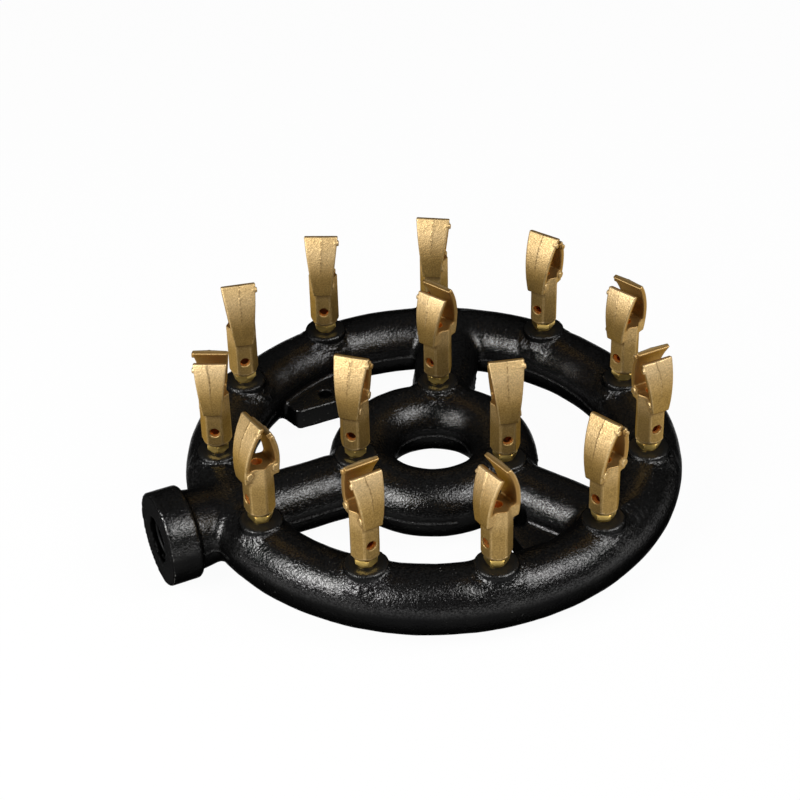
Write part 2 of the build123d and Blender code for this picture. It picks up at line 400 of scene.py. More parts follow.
def makeCastBrass():
    s = brassFinish
    finish, tree, shader = newFinish("cast_brass")
    skin = grain(tree, *s["skin"])
    clouds = grain(tree, *s["clouds"])
    edge = mark(tree, "edge")
    hollow = mark(tree, "hollow")
    seam = mark(tree, "seam")
    inside = mark(tree, "inside")
    tone = blendColour(tree, clouds, *s["tones"])
    # painted shade on the shank below the blades
    tone = blendColour(tree, mark(tree, "shank"), tone, s["shank"])
    # painted shade low on the blades and painted light near their tops, carried in the shade mark
    shade = mark(tree, "shade")
    tint = blendColour(tree, reach(tree, shade, *s["shades"]), *s["tints"])
    tone = blendColour(tree, 1.0, tone, tint, "MULTIPLY")
    pits = maths(tree, "MULTIPLY", reach(tree, skin, *s["pits"]), shade)
    tone = scaled(tree, tone, pits)
    rub = maths(tree, "MULTIPLY", edge, reach(tree, grain(tree, *s["rubs"]), *s["rub"]))
    tone = blendColour(tree, rub, tone, s["rubbed"])
    # seam mark: parting lines, and painted shadow under the blades' roots
    tone = blendColour(tree, seam, tone, s["seam"])
    # painted shade on the blades' inner faces above the shelf
    tone = blendColour(tree, inside, tone, s["inside"])
    # orange tint and painted light inside the bore and air holes
    tone = blendColour(tree, hollow, tone, s["hollow"])
    tree.links.new(tone, shader.inputs["Base Color"])
    polish = reach(tree, skin, *s["polish"])
    polish = maths(tree, "SUBTRACT", polish, maths(tree, "MULTIPLY", edge, s["edgePolish"]))
    tree.links.new(polish, shader.inputs["Roughness"])
    shader.inputs["Metallic"].default_value = 1.0
    shader.inputs["Specular Tint"].default_value = s["grazing"]
    wrinkle = reach(tree, grain(tree, *s["wrinkles"]), *s["wrinkleEdge"])
    wrinkle = maths(tree, "MULTIPLY", wrinkle, maths(tree, "SUBTRACT", 1.0, wrinkle))
    wrinkled = reach(tree, grain(tree, *s["wrinkleSpots"]), *s["wrinkled"])
    wrinkle = maths(tree, "MULTIPLY", maths(tree, "MULTIPLY", wrinkle, wrinkled), s["wrinkleHeight"])
    height = maths(tree, "ADD", skin, wrinkle)
    tree.links.new(bump(tree, height, *s["bump"]), shader.inputs["Normal"])
    return finish


# Turned and milled brass, darker where it stands inside the heads
turnedFinish = {
    "rings": (0.5, 2.0, 0.6, 0.0, (0.05, 0.05, 4.0)),  # drawn out along the cut
    "stains": (3.0, 2.0, 0.5),
    "tones": ((0.78, 0.54, 0.15, 1), (0.92, 0.66, 0.21, 1)),
    "hollow": (0.30, 0.13, 0.04, 1),
    "polish": (0.3, 0.7, 0.30, 0.42),
    "hollowRoughness": 0.25,
    "bump": (0.25, 0.05),
}


def makeTurnedBrass():
    s = turnedFinish
    finish, tree, shader = newFinish("turned_brass")
    rings = grain(tree, *s["rings"])
    stain = grain(tree, *s["stains"])
    hollow = mark(tree, "hollow")
    tone = blendColour(tree, stain, *s["tones"])
    tone = blendColour(tree, hollow, tone, s["hollow"])
    tree.links.new(tone, shader.inputs["Base Color"])
    polish = reach(tree, rings, *s["polish"])
    polish = maths(tree, "ADD", polish, maths(tree, "MULTIPLY", hollow, s["hollowRoughness"]))
    tree.links.new(polish, shader.inputs["Roughness"])
    shader.inputs["Metallic"].default_value = 1.0
    tree.links.new(bump(tree, rings, *s["bump"]), shader.inputs["Normal"])
    return finish


# Cut thread, kept near black as painted shade inside the inlet, with a mottled tone
threadFinish = {
    "threadMottle": (1.6, 3.0, 0.6),
    # painted shade: near black tones for the thread inside the bore
    "tones": ((0.010, 0.010, 0.010, 1), (0.030, 0.030, 0.030, 1)),
    "polish": (0.3, 0.7, 0.40, 0.6),
    "grazing": (0.1, 0.1, 0.1, 1),
    "bump": (0.4, 0.1),
}


def makeThreadIron():
    s = threadFinish
    finish, tree, shader = newFinish("thread_iron")
    threadMottle = grain(tree, *s["threadMottle"])
    tree.links.new(blendColour(tree, threadMottle, *s["tones"]), shader.inputs["Base Color"])
    tree.links.new(reach(tree, threadMottle, *s["polish"]), shader.inputs["Roughness"])
    shader.inputs["Metallic"].default_value = 1.0
    shader.inputs["Specular Tint"].default_value = s["grazing"]
    tree.links.new(bump(tree, threadMottle, *s["bump"]), shader.inputs["Normal"])
    return finish


blackIron = makeBlackIron()
castBrass = makeCastBrass()
turnedBrass = makeTurnedBrass()
threadIron = makeThreadIron()
print("finishes mixed")

# Where the jets stand, from the joints of the heads
sameHeight = 0.001  # millimetres
jets = []
for joint in frame["joints"]:
    axis = Vector(joint["pos_m"]) / mm
    corners = [v.co / mm for v in frame["nodes"][joint["child"]].data.vertices]
    top = max(c.z for c in corners)
    ridge = {tuple(round(n, 3) for n in c) for c in corners if c.z > top - sameHeight}
    middle = sum((Vector(c) for c in ridge), Vector()) / len(ridge) - axis
    jets.append({
        "head": joint["child"],
        "orifice": joint["child"].replace("head", "orifice"),
        "place": axis,
        "turn": math.atan2(middle.y, middle.x),  # the tall blade's top edge leans this way
    })
castBody = frame["joints"][0]["parent"]
bossTop = jets[0]["place"].z
print("jets found:", len(jets), [round(math.degrees(j["turn"])) for j in jets])

# Cast iron manifold, worked out with the middle of its rings at the origin
casting = {
    "cell": 1.3,
    "room": (2.7, 3.0, 2.0),  # of the grid: before the inlet, round the ring, above and below
    "middle": 147.5,  # mouth of the inlet to the middle of the rings
    "ring": (108.0, 16.7),  # centre line, tube
    "hub": (35.8, 16.7),
    "spokeTube": 16.4,
    "spokes": (180, 300, 60),
    "fillet": 5.0,
    "neck": 20.3,
    "neckFillet": 3.5,
    "neckSunk": 2.0,  # how far the neck starts inside the collar
    "collar": (23.4, 16.0),  # radius, length
    "collarEdges": (2.0, 1.1),  # back, front
    "collarFillet": 0.5,
    "bore": (10.5, 18.0),  # thread radius, depth
    "boreChamfer": 0.95,
    "passage": (9.0, 46.0),  # radius, depth from the inlet's mouth
    "boss": (10.5, 12.5, 13.0),  # top radius, foot radius, height of its cone
    "bossEdge": 0.75,
    "bossFillet": (0.55, 0.35, 4.0),  # for each millimetre below the top, least, most
    "bossReach": (14.0, -2.0),  # what a boss can change: out from its foot, down to this height
    "lugThick": 11.5,
    "lugEdges": (2.0, 0.7),  # corners, rims
    "lugFillet": 2.2,
    "lugHole": (3.3, 0.5),  # radius, rounding of its rim
    "wideLug": {"hole": (-27.1, 76.12), "edge": 9.1, "left": 19.3, "right": 15.4, "lean": 17.0},
    "narrowLug": {"hole": (16.19, -63.98), "edge": 9.0, "half": 7.2, "lean": 15.0},
    "seeds": (3, 5, 8),  # sand, seam, crumpled fillets
    "lumps": ((11.0, 0.20), (3.0, 0.05)),  # size, height of the sand's unevenness
    "seamHeight": 0.42,
    "seamWidth": (1.0, 0.25),  # from its middle: where it starts, where it is full
    "seamRoom": (30.0, 8.0),  # clear of the lugs' holes, out beside the neck
    "seamLumps": (1.7, 0.55, 0.9),  # size, even share, uneven share
    "bossRough": 0.6,  # height of the crumpled fillets round the bosses
    "roughSize": 3.0,
    "roughGap": 0.6,  # from the boss's rim
    "roughOut": (6.0, 3.0),  # from the rim: where it starts, where it is full
    "roughUp": (6.0, 11.0),
    "cutSkin": (0.3, 0.2),  # depth that counts as a cut face, rim that a boss's flat leaves
    "boreSkin": (0.9, 0.7, 20.0),  # beyond the thread: cut, dark with painted shade; depth
    "edgeBend": (0.25, 0.9),  # where an edge starts to wear, where it is worn
    "edgeProbe": 0.4,
    "edgeWear": (1.0, 0.3),  # on the collar, elsewhere
    "collarPast": 1.0,  # behind the collar, where its wear ends and the neck's seam starts
    "glossAndShadeTurn": (0.05, 0.45),  # paint turns from matte, with painted shade in a darker tone, to glossy and lighter as a face turns upwards
    "slopeProbe": 0.1,
}


def lugPlate(x, y, z, sides, hole):  # plate with its top on z = 0, and each point's way to its hole
    s = casting
    corner, rim = s["lugEdges"]
    outline = sides[0]
    for side in sides[1:]:
        outline = softMeet(outline, side, corner)
    body = softMeet(outline, np.maximum(z, -s["lugThick"] - z), rim)
    return np.maximum(body, np.hypot(x, y) - s["ring"][0]), np.hypot(x - hole[0], y - hole[1])


def wideLug(x, y, z):
    s = casting["wideLug"]
    hx, hy = s["hole"]
    lean, flat = math.tan(degrees(s["lean"])), math.cos(degrees(s["lean"]))
    up = y - (hy - s["edge"])
    left = (hx - s["left"] - lean * up - x) * flat
    right = (x - hx - s["right"] - lean * up) * flat
    return lugPlate(x, y, z, (-up, left, right), s["hole"])


def narrowLug(x, y, z):
    s = casting["narrowLug"]
    hx, hy = s["hole"]
    lean, flat = math.tan(degrees(s["lean"])), math.cos(degrees(s["lean"]))
    tip = y - hy - s["edge"]
    left = hx - s["half"] - x
    right = (x - hx - s["half"] + lean * (y - hy)) * flat
    return lugPlate(x, y, z, (tip, left, right), s["hole"])


def tubeField(x, y, z):  # rings, spokes and neck
    s = casting
    far = np.hypot(x, y)
    body = np.hypot(far - s["ring"][0], z) - s["ring"][1]
    hub = np.hypot(far - s["hub"][0], z) - s["hub"][1]
    arms = np.full(len(x), outOfReach)
    for angle in s["spokes"]:
        ca, sa = math.cos(degrees(angle)), math.sin(degrees(angle))
        along, across = x * ca + y * sa, y * ca - x * sa
        arm = np.hypot(across, z) - s["spokeTube"]
        arm = np.maximum(arm, np.maximum(s["hub"][0] - along, along - s["ring"][0]))
        arms = np.minimum(arms, arm)
    body = softUnion(body, arms, s["fillet"])
    body = softUnion(body, hub, s["fillet"])
    back = s["collar"][1] - s["middle"]
    run = -s["ring"][0] - back
    taper = np.clip((x - back) / run, -0.5, 1)  # from the collar's back to the ring
    radius = s["neck"] + (s["spokeTube"] - s["neck"]) * taper
    ends = np.maximum(back - s["neckSunk"] - x, x + s["ring"][0])
    return softUnion(body, np.maximum(np.hypot(y, z) - radius, ends), s["neckFillet"])


def addBosses(body, x, y, z):
    s = casting
    topRadius, footRadius, cone = s["boss"]
    growth, least, most = s["bossFillet"]
    out, lowest = s["bossReach"]
    drop = np.clip((bossTop - z) / cone, 0, 1)
    fillet = np.clip((bossTop - z) * growth, least, most)
    for jet in jets:
        r = np.hypot(x - (jet["place"].x - s["middle"]), y - jet["place"].y)
        near = (r < footRadius + out) & (z > lowest)
        if not near.any():
            continue
        rn, zn = r[near], z[near]
        flank = rn - topRadius - (footRadius - topRadius) * drop[near]
        boss = np.maximum(softMeet(flank, zn - bossTop, s["bossEdge"]), -zn)
        joined = softUnion(body[near], boss, fillet[near])
        body[near] = np.maximum(joined, zn - bossTop)
    return body


def castingField(points):
    s = casting
    x, y, z = points.T
    body = tubeField(x, y, z)
    holeRadius, holeRim = s["lugHole"]
    for lug, hole in (wideLug(x, y, z), narrowLug(x, y, z)):
        body = softUnion(body, lug, s["lugFillet"])
        body = softMeet(body, holeRadius - hole, holeRim)
    body = addBosses(body, x, y, z)
    face = -s["middle"] - x
    fromAxis = np.hypot(y, z)
    backEdge, frontEdge = s["collarEdges"]
    collar = softMeet(fromAxis - s["collar"][0], x + s["middle"] - s["collar"][1], backEdge)
    collar = softMeet(collar, face, frontEdge)
    body = softUnion(np.maximum(body, face), collar, s["collarFillet"])
    thread, threadEnd = s["bore"]
    passage, passageEnd = s["passage"]
    chamfer = thread + s["boreChamfer"] - np.clip(x + s["middle"], 0, s["boreChamfer"])
    bore = np.where(x < threadEnd - s["middle"], np.maximum(chamfer, thread), passage)
    hollow = np.maximum(fromAxis - bore, x + s["middle"] - passageEnd)
    return np.maximum(body, -hollow)


def finishCasting(verts):  # marks for the finish, and the sand's unevenness
    s = casting
    x, y, z = verts.T
    rim, thread = s["boss"][0], s["bore"][0]
    skin, flatRim = s["cutSkin"]
    cutOut, darkOut, cutEnd = s["boreSkin"]
    collarWear, otherWear = s["edgeWear"]
    lugRoom, neckRoom = s["seamRoom"]
    seamSize, even, uneven = s["seamLumps"]
    sandSeed, seamSeed, roughSeed = s["seeds"]
    collarEnd = s["collar"][1] - s["middle"] + s["collarPast"]
    near = np.min([np.hypot(x - (j["place"].x - s["middle"]), y - j["place"].y) for j in jets], axis=0)
    lugHoles = (s["wideLug"]["hole"], s["narrowLug"]["hole"])
    holes = np.min([np.hypot(x - hx, y - hy) for hx, hy in lugHoles], axis=0)
    far, fromAxis = np.hypot(x, y), np.hypot(y, z)
    inBore = (fromAxis < thread + cutOut) & (x < cutEnd - s["middle"])
    machined = np.where((x < skin - s["middle"]) | inBore, 1.0, 0.0)
    # painted shade: the inlet's bore takes a near black tone
    bore = np.where(inBore & (fromAxis < thread + darkOut), 1.0, 0.0)
    flat = np.where((z > bossTop - skin) & (near < rim - flatRim), 1.0, 0.0)
    edge = ease(*s["edgeBend"], bending(castingField, verts, s["edgeProbe"]))
    edge = edge * ~inBore * np.where(x < collarEnd, collarWear, otherWear)
    onNeck = (x < -s["ring"][0]) & (x > collarEnd) & (np.abs(y) < s["neck"] + neckRoom)
    seam = ease(*s["seamWidth"], np.abs(z)) * ((far < s["ring"][0]) & (holes > lugRoom) | onNeck)
    slope = gradient(castingField, verts, s["slopeProbe"])
    slope /= np.linalg.norm(slope, axis=1)[:, None]
    # glossy and lighter where a face turns upwards or holds a seam, painted shade in a darker tone where it
    # turns downwards
    glossAndPaintedShade = np.maximum(ease(*s["glossAndShadeTurn"], slope[:, 2]), seam)
    crumple = ease(*s["roughOut"], near - rim) * ease(*s["roughUp"], z)
    crumple = crumple * (1 - flat) * (near > rim + s["roughGap"])
    height = sum(h * lumps(verts, size, sandSeed) for size, h in s["lumps"])
    height = height * (1 - np.maximum(machined, flat))
    height += s["seamHeight"] * seam * (even + uneven * lumps(verts, seamSize, seamSeed))
    height += s["bossRough"] * crumple * lumps(verts, s["roughSize"], roughSeed)
    verts = verts + slope * height[:, None] + np.array((s["middle"], 0, 0))
    return verts, {
        "machined": machined, "flat": flat, "edge": edge, "seam": seam,
        "glossAndPaintedShade": glossAndPaintedShade, "crumple": crumple, "bore": bore,
    }


def castManifold():
    s = casting
    before, beside, above = s["room"]
    reachOut = s["ring"][0] + s["ring"][1] + beside
    half = (math.ceil((s["collar"][0] + above) / s["cell"]) + 0.5) * s["cell"]  # keeps the grid off z = 0
    low = (-s["middle"] - before, -reachOut, -half)
    high = (reachOut, reachOut, half)
    verts, quads = surfaceNet(castingField, low, high, s["cell"])
    verts, marks = finishCasting(verts)
    mesh = makeMesh("cast_manifold", verts, quads.tolist(), marks)
    addPiece("cast_manifold", mesh, blackIron, castBody, ["manifold"])
    print("manifold cast:", len(quads) * 2, "triangles")


castManifold()

# Brass jet head, worked out once at the origin with its tall blade towards +X
head = {
    "cell": 0.42,
    "room": 1.5,  # of the grid round the head
    "flats": 13.4,
    "foot": 5.1,
    "footRadius": 6.0,
    "footLean": 35.0,
    "shelf": 33.9,
    "bow": 46.0,
    "bulge": 9.8,
    "widest": 32.2,  # height of the blades' widest place
    "wall": 2.9,
    "rootSweep": 7.4,
    "rootWidth": 9.5,
    "flare": 7.4,
    "sweeps": (34.3, 27.9),  # tall, short
    "topSlope": 17.0,
    "bladeSunk": 1.5,  # how far a blade starts below the shelf
    "shankEdges": {"flats": 0.7, "foot": 0.4, "ends": 0.35, "blades": 0.5},  # roundings
    "bladeEdges": {"mouth": 1.2, "face": 0.4, "side": 0.7, "top": 0.6, "root": 0.4},
    "stubEdges": {"rim": 0.3, "foot": 0.2},
    "stubRise": 0.85,
    "stubSunk": 1.5,
    "lowStub": (1.9, 6.9, 2.9),  # radius, out from the axis, below the shelf
    "topStub": (1.4, 4.0),  # radius, degrees of bow below the blade's top
    "airHole": (2.5, 14.3),  # radius, height
    "airChamfer": 0.25,
    "chamber": (4.05, 17.3),  # radius, height of its roof
    "bore": 2.5,
    "boreEnds": (1.0, 0.5),  # how far the hollow runs past the foot, past the shelf
    "fold": 0.05,  # how much each half of a blade's face falls away from its seam
    "seamShift": (1.3, 13.0),  # sideways at a blade's top, degrees of bow that it takes
    "seamShare": (0.4, 1.0),  # of that shift: tall, short
    "seamStep": (0.0, 0.30),  # how much one half of the face stands over the other: tall, short
    "stepWidth": (-0.25, 0.25),
    "stepFrom": (-4, 18),  # degrees of bow: where it starts, where it is full
    "seamRidge": (0.22, 0.0),  # tall, short
    "ridgeWidth": (0.75, 0.15),  # from its middle: where it starts, where it is full
    "ridgeFrom": (8, 20),
    "ridgeRagged": (0.6, 0.4, 3.1, 1.27),  # even part, uneven part, its waves
    "lineBeside": (0.3, 0.0),  # dark line along the seam, off its middle: tall, short
    "lineWidth": (0.55, 0.1),
    "lineFrom": ((5, 15), (0, 14)),
    "lineTone": (1.0, 0.75),
    "lineRagged": (0.55, 0.45, 2.3, 0.91),
    "lineStray": ((0.08, 2.9, 0), (0.13, 1.1, 2)),  # sideways, its waves, where they start
    "faceSkin": 0.9,  # depth that counts as a blade's face
    "front": (0.6, 0.5),  # inside the flats, beside the root
    "rootShadow": (0.55, (4.0, 1.5)),  # painted shadow under the root's ledge: tone, range below the root
    # painted shade: a dark line along the root's lower edge
    "rootLine": (0.9, (0.7, 0.25)),
    "hollowSkin": (0.5, 0.1),
    "insideFrom": ((-1.0, -1.6), (-0.6, 0.0)),  # painted shade on the blades' inner faces: from the face, from the shelf
    "airRim": (0.3, (0.9, 0.3), 0.7, 0.8),  # out from the hole, width, inside the flats, wear taken off
    "edgeBend": (0.5, 2.2),  # where an edge starts to be rubbed, where it is bright
    "edgeProbe": 0.25,
    "shankFrom": (4, 14),  # painted shade on the shank, below the shelf
    "paintedLightTall": ((34, 37, 44, 50, 58), (0.60, 0.64, 1.00, 1.22, 1.12)),  # heights, tones of a blade's face: painted shade low, painted light high
    "paintedLightShort": ((34, 37, 44, 49, 52), (0.60, 0.64, 1.00, 1.25, 1.45)),
    "paintedLightFrom": ((1.3, 0.7), (-0.6, 0.0)),  # from the face, from the root
    "grainSize": 1.6,
    "grainHeight": 0.14,
    "grainDetail": 2.0,
    "grainSeed": 1.7,  # from head to head
}


def onBow(radius, sweep):
    s = head
    turn = degrees(sweep)
    return s["bulge"] - s["bow"] + radius * math.cos(turn), s["widest"] + radius * math.sin(turn)


def seamLine(rise, blade):  # how far a seam has gone sideways, at degrees of bow
    s = head
    shift, run = s["seamShift"]
    sweep = s["sweeps"][blade]
    return shift * ease(sweep - run, sweep, rise) * s["seamShare"][blade]


def bladeField(x, y, z, blade):
    s = head
    edges = s["bladeEdges"]
    sweep = s["sweeps"][blade]
    u, w = x - (s["bulge"] - s["bow"]), z - s["widest"]
    far = np.hypot(u, w)
    rise = np.degrees(np.arctan2(w, u))
    off = y - seamLine(rise, blade)
    step = s["seamStep"][blade] * ease(*s["stepWidth"], off) * ease(*s["stepFrom"], rise)
    skin = s["fold"] * np.abs(off) - step
    ridge = s["seamRidge"][blade] * ease(*s["ridgeWidth"], np.abs(off)) * ease(*s["ridgeFrom"], rise)
    outer = far - s["bow"] + skin - ridge * ragged(z, *s["ridgeRagged"])
    inner = s["bow"] - s["wall"] - far
    rootZ = onBow(s["bow"], -s["rootSweep"])[1]
    lean = math.tan(degrees(s["flare"]))
    side = (np.abs(y) - s["rootWidth"] / 2 - (z - rootZ) * lean) * math.cos(degrees(s["flare"]))
    topX, topZ = onBow(s["bow"], sweep)
    slope = degrees(s["topSlope"])
    top = (z - topZ) * math.cos(slope) - (x - topX) * math.sin(slope)
    leaf = np.maximum(inner, s["shelf"] - s["bladeSunk"] - z)
    block = np.maximum(z - s["shelf"], s["flats"] / 4 - x)
    body = softUnion(leaf, block, edges["mouth"])
    for cut, edge in ((outer, "face"), (side, "side"), (top, "top"), (rootZ - z, "root")):
        body = softMeet(body, cut, edges[edge])
    lowRadius, lowReach, lowDrop = s["lowStub"]
    topRadius, topTurn = s["topStub"]
    places = ((lowReach, s["shelf"] - lowDrop), onBow(s["bow"] - s["wall"] / 2, sweep - topTurn))
    for (px, pz), radius in zip(places, (lowRadius, topRadius)):
        edge = s["rootWidth"] / 2 + (pz - rootZ) * lean
        knob = np.hypot(x - px, z - pz) - radius
        knob = softMeet(knob, y - edge - s["stubRise"], s["stubEdges"]["rim"])
        knob = np.maximum(knob, edge - s["stubSunk"] - y)
        body = softUnion(body, knob, s["stubEdges"]["foot"])
    return body


def headField(points):
    s = head
    edges = s["shankEdges"]
    x, y, z = points.T
    h = s["flats"] / 2
    c = math.sqrt(3) / 2
    shank = softMeet(np.abs(x) - h, np.abs(x / 2 + c * y) - h, edges["flats"])
    shank = softMeet(shank, np.abs(c * y - x / 2) - h, edges["flats"])
    lean = math.tan(degrees(s["footLean"]))
    cone = np.hypot(x, y) - s["footRadius"] - (z - s["foot"]) * lean
    shank = softMeet(shank, cone * math.cos(degrees(s["footLean"])), edges["foot"])
    body = softMeet(shank, np.maximum(s["foot"] - z, z - s["shelf"]), edges["ends"])
    for blade, way in enumerate((1, -1)):
        body = softUnion(body, bladeField(way * x, y, z, blade), edges["blades"])
    return np.maximum(body, -hollowField(x, y, z))


def hollowField(x, y, z):  # mixing bore and air holes
    s = head
    wide, roof = s["chamber"]
    below, above = s["boreEnds"]
    bore = np.clip(wide - (z - roof), s["bore"], wide)
    ends = np.maximum(s["foot"] - below - z, z - s["shelf"] - above)
    way = np.maximum(np.hypot(x, y) - bore, ends)
    radius, height = s["airHole"]
    sunk = np.clip(np.abs(x) - s["flats"] / 2 + s["airChamfer"], 0, s["airChamfer"])
    air = np.maximum(np.hypot(y, z - height) - radius - sunk, np.abs(x) - s["flats"])
    return np.minimum(way, air)


def headMarks(verts):  # where the finish is dark, bright or dull
    s = head
    x, y, z = verts.T
    half = s["flats"] / 2
    bowX = np.abs(x) - (s["bulge"] - s["bow"])
    rise = np.degrees(np.arctan2(z - s["widest"], bowX))
    depth = np.hypot(bowX, z - s["widest"]) - s["bow"]  # from the blades' outer faces
    rootZ = onBow(s["bow"], -s["rootSweep"])[1]
    # hollow mark: orange tint and painted light inside the bore and air holes
    hollow = ease(*s["hollowSkin"], np.abs(hollowField(x, y, z)))
    stray = sum(size * np.sin(z * waves + start) for size, waves, start in s["lineStray"])
    broken = ragged(z, *s["lineRagged"])
    seam = np.zeros(len(x))
    for blade, side in enumerate((x > 0, x < 0)):
        aside = np.abs(y + s["lineBeside"][blade] - seamLine(rise, blade) - stray)
        line = ease(*s["lineWidth"], aside) * ease(*s["lineFrom"][blade], rise) * s["lineTone"][blade]
        seam += np.where(side & (np.abs(depth) < s["faceSkin"]), line * broken, 0)
    inFlats, besideRoot = s["front"]
    front = (np.abs(x) > half - inFlats) & (np.abs(y) < s["rootWidth"] / 2 + besideRoot)
    # painted shadow below each blade's root and a dark line on its edge, carried in the seam mark
    tone, width = s["rootShadow"]
    seam = np.maximum(seam, np.where(front & (z < rootZ), tone * ease(*width, rootZ - z), 0))
    tone, width = s["rootLine"]
    seam = np.maximum(seam, np.where(front, tone * ease(*width, np.abs(z - rootZ)), 0))
    # painted shade on the blades' inner faces above the shelf
    behindFace, aboveShelf = s["insideFrom"]
    inside = ease(*behindFace, depth) * ease(*aboveShelf, z - s["shelf"]) * (1 - hollow)
    out, width, inFlats, wear = s["airRim"]
    radius, height = s["airHole"]
    rim = ease(*width, np.abs(np.hypot(y, z - height) - radius - out)) * (np.abs(x) > half - inFlats)
    hollow = hollow * (1 - rim)
    edge = ease(*s["edgeBend"], bending(headField, verts, s["edgeProbe"]))
    edge = edge * (1 - hollow) * (1 - wear * rim) * (1 - seam)
    # painted shade on the shank, fading in below the shelf
    start, full = s["shankFrom"]
    shank = ease(s["shelf"] - start, s["shelf"] - full, z) * (1 - edge)
    # painted shade low on a blade's face and painted light near its top
    climb = np.where(x > 0, np.interp(z, *s["paintedLightTall"]), np.interp(z, *s["paintedLightShort"]))
    offFace, overRoot = s["paintedLightFrom"]
    face = ease(*offFace, np.abs(depth)) * ease(*overRoot, z - rootZ)
    shade = 1 + (climb - 1) * face
    return {"edge": edge, "hollow": hollow, "seam": seam, "inside": inside, "shank": shank, "shade": shade}


def castHead():
    s = head
    wide = s["bulge"] + s["room"]
    top = onBow(s["bow"], s["sweeps"][0])[1] + s["room"]
    low, high = (-wide, -wide, s["foot"] - s["room"]), (wide, wide, top)
    verts, quads = surfaceNet(headField, low, high, s["cell"])
    return makeMesh("head_pattern", verts, quads.tolist(), headMarks(verts))


# Node trees
def newTree(name, sockets):
    tree = bpy.data.node_groups.new(name, "GeometryNodeTree")
    tree.interface.new_socket("Geometry", in_out="INPUT", socket_type="NodeSocketGeometry")
    keys = {}
    for label, kind in sockets:
        keys[label] = tree.interface.new_socket(label, in_out="INPUT", socket_type=kind).identifier
    tree.interface.new_socket("Geometry", in_out="OUTPUT", socket_type="NodeSocketGeometry")
    given = tree.nodes.new("NodeGroupInput")
    made = tree.nodes.new("NodeGroupOutput")
    return tree, keys, given.outputs, made.inputs[0]


def endTree(tree, shape, finish, made):
    real = addNode(tree, "GeometryNodeRealizeInstances", {"Geometry": shape}).outputs[0]
    painted = addNode(tree, "GeometryNodeSetMaterial", {"Geometry": real, "Material": finish}).outputs[0]
    tree.links.new(painted, made)


def runTree(name, mesh, tree, keys, values):  # the finished mesh, with no modifier left
    host = bpy.data.objects.new(name + "_host", mesh)
    bpy.context.scene.collection.objects.link(host)
    step = host.modifiers.new("nodes", "NODES")
    step.node_group = tree
    for label, value in values.items():
        step[keys[label]] = value
    graph = bpy.context.evaluated_depsgraph_get()
    result = bpy.data.meshes.new_from_object(host.evaluated_get(graph), depsgraph=graph)
    result.name = name
    bpy.data.objects.remove(host)
    return result


def headTree():
    tree, keys, given, made = newTree("castingSkin", (
        ("Turn", "NodeSocketVector"),
        ("Place", "NodeSocketVector"),
        ("Seed", "NodeSocketFloat"),
        ("Grain Size", "NodeSocketFloat"),
        ("Grain Height", "NodeSocketFloat"),
        ("Finish", "NodeSocketMaterial"),
    ))
    at = addNode(tree, "GeometryNodeInputPosition").outputs[0]
    out = addNode(tree, "GeometryNodeInputNormal").outputs[0]
    sand = addNode(tree, "ShaderNodeTexNoise", {
        "Vector": at, "W": given["Seed"], "Scale": maths(tree, "DIVIDE", 1.0, given["Grain Size"]),
        "Detail": head["grainDetail"],
    }, noise_dimensions="4D").outputs["Fac"]
    lift = maths(tree, "MULTIPLY", maths(tree, "SUBTRACT", sand, 0.5), given["Grain Height"])
    skin = addNode(tree, "GeometryNodeSetPosition", {
        "Geometry": given["Geometry"], "Offset": scaled(tree, out, lift),
    }).outputs[0]
    stood = addNode(tree, "GeometryNodeTransform", {
        "Geometry": skin, "Translation": given["Place"], "Rotation": given["Turn"],
    }).outputs[0]
    endTree(tree, stood, given["Finish"], made)
    return tree, keys


def standHeads():
    s = head
    pattern = castHead()
    tree, keys = headTree()
    for number, jet in enumerate(jets):
        name = jet["head"] + "_skin"
        mesh = runTree(name, pattern.copy(), tree, keys, {
            "Turn": (0.0, 0.0, jet["turn"]),
            "Place": tuple(jet["place"] * mm),
            "Seed": s["grainSeed"] * number,
            "Grain Size": s["grainSize"] * mm,
            "Grain Height": s["grainHeight"] * mm,
            "Finish": castBrass,
        })
        addPiece(name, mesh, castBrass, jet["head"], [jet["head"]])
    print("heads stood:", len(jets), "of", len(pattern.polygons) * 2, "triangles each")


standHeads()

# Brass orifices, one turned hexagon stood on every boss
orifice = {
    "flats": 10.5,
    "root": (4.0, -6.0),  # radius, lower end
    "collar": ((4.25, 0.0), (4.5, 0.12), (4.6, 0.35), (4.6, 0.6)),  # turned foot: radius, height
    "cone": (0.7, 1.5, 0.05, 5),  # start, height, past the hexagon's corners, rows
    "hexagon": ((0.1, 3.4), (0.1, 4.4), (-0.35, 4.62)),  # past the corners, height
    "hexTop": (-0.8, 4.8),
    "stem": (4.0, 10.8),  # radius, top
    "chamfer": 0.4,
    "capFlat": 0.4,  # radius of the face that closes each end
    "hollowFrom": 0.1,  # above the hexagon, inside the head
    "sides": 96,
    "sharp": 28,  # degrees
    "seed": 4,
}


def orificeProfile(corner):  # radius and height, from the lower end upwards
    s = orifice
    chamfer, cap = s["chamfer"], s["capFlat"]
    rootRadius, rootEnd = s["root"]
    stemRadius, stemTop = s["stem"]
    collarRadius = s["collar"][-1][0]
    start, rise, past, rows = s["cone"]
    grow = corner + past - collarRadius
    profile = [(cap, rootEnd), (rootRadius - chamfer, rootEnd), (rootRadius, rootEnd + chamfer)]
    profile += [(rootRadius, 0.0), *s["collar"]]
    profile += [(collarRadius + t * grow, start + t * rise) for t in np.linspace(0, 1, rows)]
    profile += [(corner + out, z) for out, z in (*s["hexagon"], s["hexTop"])]
    profile += [(stemRadius, s["hexTop"][1]), (stemRadius, stemTop - chamfer)]
    profile += [(stemRadius - chamfer, stemTop), (cap, stemTop)]
    return profile


